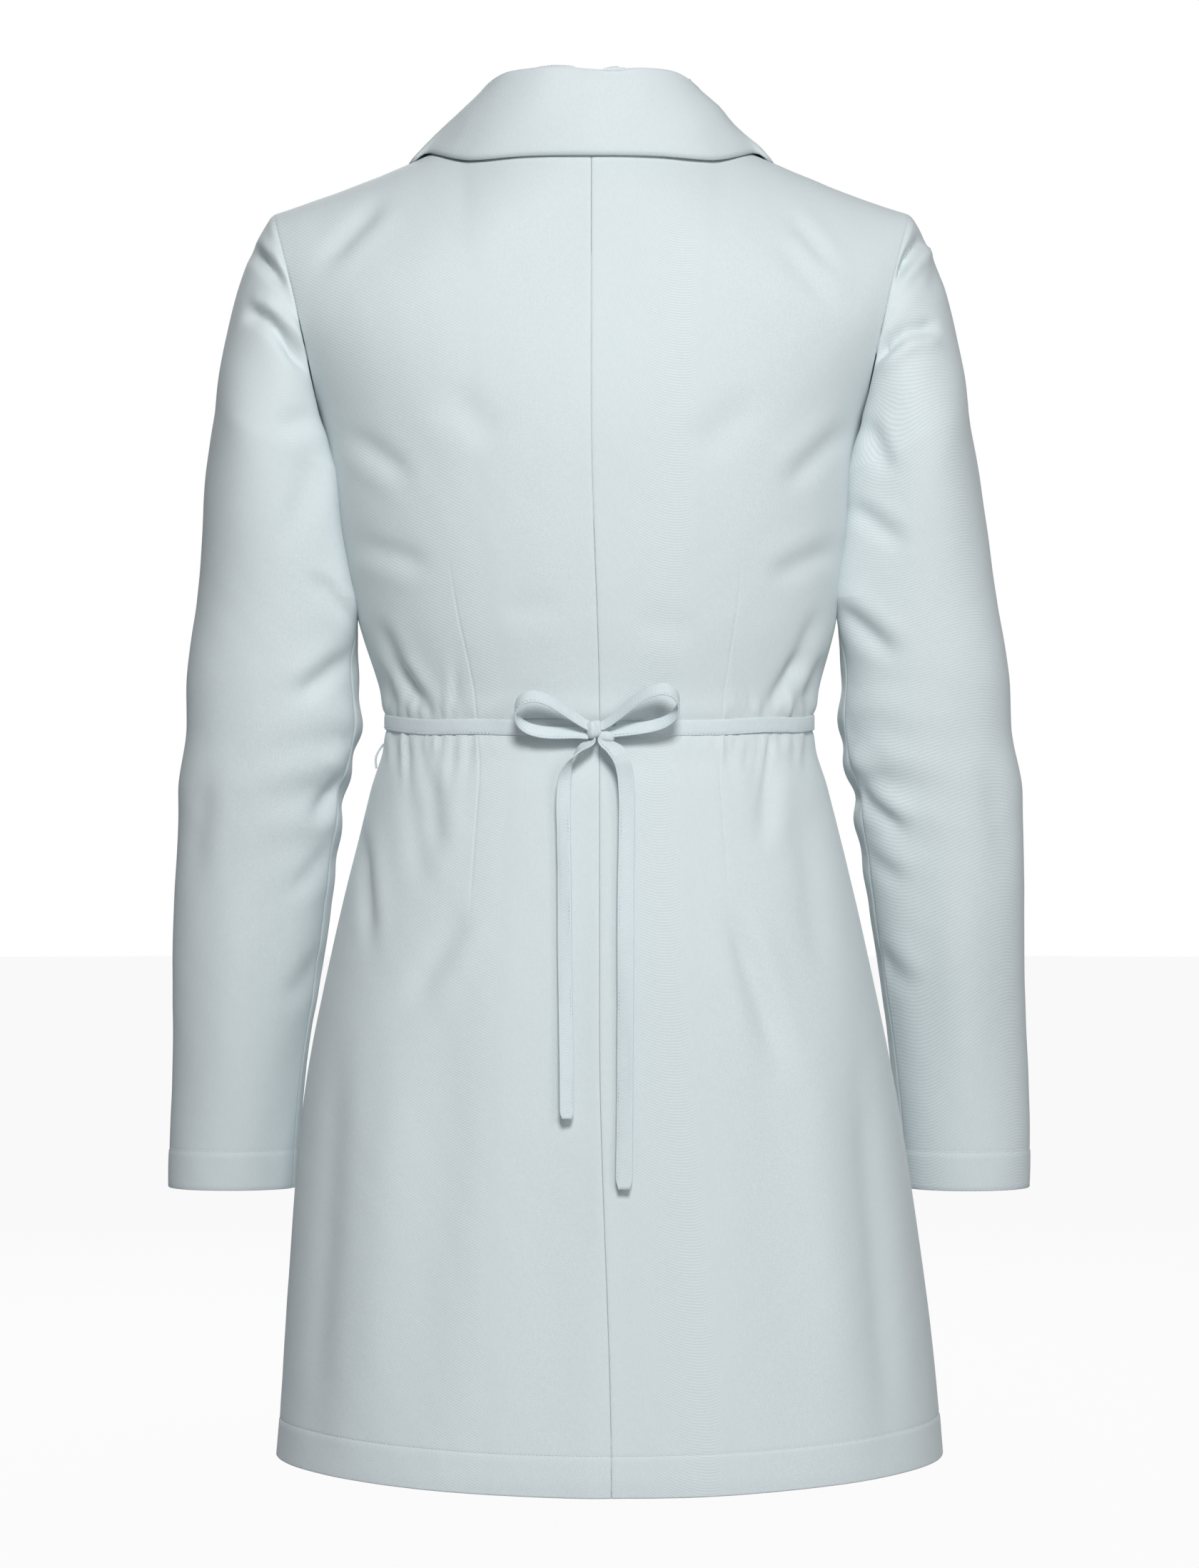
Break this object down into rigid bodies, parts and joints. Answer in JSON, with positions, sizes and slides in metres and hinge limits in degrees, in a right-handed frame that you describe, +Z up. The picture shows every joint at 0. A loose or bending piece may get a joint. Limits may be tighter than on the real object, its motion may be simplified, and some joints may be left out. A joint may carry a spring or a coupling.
{
  "type": "long-sleeved tailored coat dress",
  "caption": "Hanging long-sleeved tailored coat dress with a fold-down collar, set-in sleeves, shaped back and a narrow waist sash tied in a bow at the back.",
  "frame": {"origin": "on the centre line at the height of the two high shoulder points, in the plane of the side seams, where a neck form, hanger or mannequin carries the coat", "axes": "+Z up, the wearer faces -Y, the wearer's left side is +X"},
  "size_m": [0.548, 0.2972, 0.8675],
  "materials": {
    "outer_cloth": "matte fine twill with a soft drape",
    "sash_cloth": "folded and edge-stitched twill tape",
    "pocket_cloth": "light plain lining cloth",
    "thread": "worked sewing thread",
    "button": "polished resin"
  },
  "bodies": {
    "coat_body": {"back_panel_left": "outer_cloth", "back_panel_right": "outer_cloth", "front_panel_left": "outer_cloth", "front_panel_right": "outer_cloth", "front_facing_left": "outer_cloth", "front_facing_right": "outer_cloth", "back_neck_facing": "outer_cloth", "pocket_bag_left": "pocket_cloth", "pocket_bag_right": "pocket_cloth", "hanger_loop": "sash_cloth", "sleeve_head_left": "outer_cloth", "sleeve_head_right": "outer_cloth", "upper_collar": "outer_cloth", "under_collar": "outer_cloth", "lapel_left": "outer_cloth", "lapel_right": "outer_cloth", "button_1": "button", "button_2": "button", "button_3": "button", "button_4": "button", "waist_sash": "sash_cloth", "bow_knot": "sash_cloth", "bow_loop_left": "sash_cloth", "bow_loop_right": "sash_cloth", "thread_carrier": "thread"},
    "left_upper_sleeve": {"sleeve_upper_left": "outer_cloth"},
    "left_lower_sleeve": {"sleeve_lower_left": "outer_cloth"},
    "right_upper_sleeve": {"sleeve_upper_right": "outer_cloth"},
    "right_lower_sleeve": {"sleeve_lower_right": "outer_cloth"},
    "left_tail": {"tie_tail_left": "sash_cloth"},
    "right_tail": {"tie_tail_right": "sash_cloth"}
  },
  "joints": [
    {"name": "left_sleeve_lift", "type": "hinge", "parent": "coat_body", "child": "left_upper_sleeve", "pos_m": [0.2399, -0.002, -0.1727], "axis": [0, -1, 0], "range_deg": [0, 60]},
    {"name": "left_elbow_bend", "type": "hinge", "parent": "left_upper_sleeve", "child": "left_lower_sleeve", "pos_m": [0.2075, -0.0645, -0.3878], "axis": [-1, 0, 0], "range_deg": [0, 90]},
    {"name": "right_sleeve_lift", "type": "hinge", "parent": "coat_body", "child": "right_upper_sleeve", "pos_m": [-0.2299, -0.002, -0.1727], "axis": [0, 1, 0], "range_deg": [0, 60]},
    {"name": "right_elbow_bend", "type": "hinge", "parent": "right_upper_sleeve", "child": "right_lower_sleeve", "pos_m": [-0.2075, -0.0645, -0.3878], "axis": [-1, 0, 0], "range_deg": [0, 90]},
    {"name": "left_tail_swing", "type": "hinge", "parent": "coat_body", "child": "left_tail", "pos_m": [0.008, 0.107, -0.379], "axis": [1, 0, 0], "range_deg": [0, 60]},
    {"name": "right_tail_swing", "type": "hinge", "parent": "coat_body", "child": "right_tail", "pos_m": [-0.006, 0.107, -0.379], "axis": [1, 0, 0], "range_deg": [0, 60]}
  ]
}
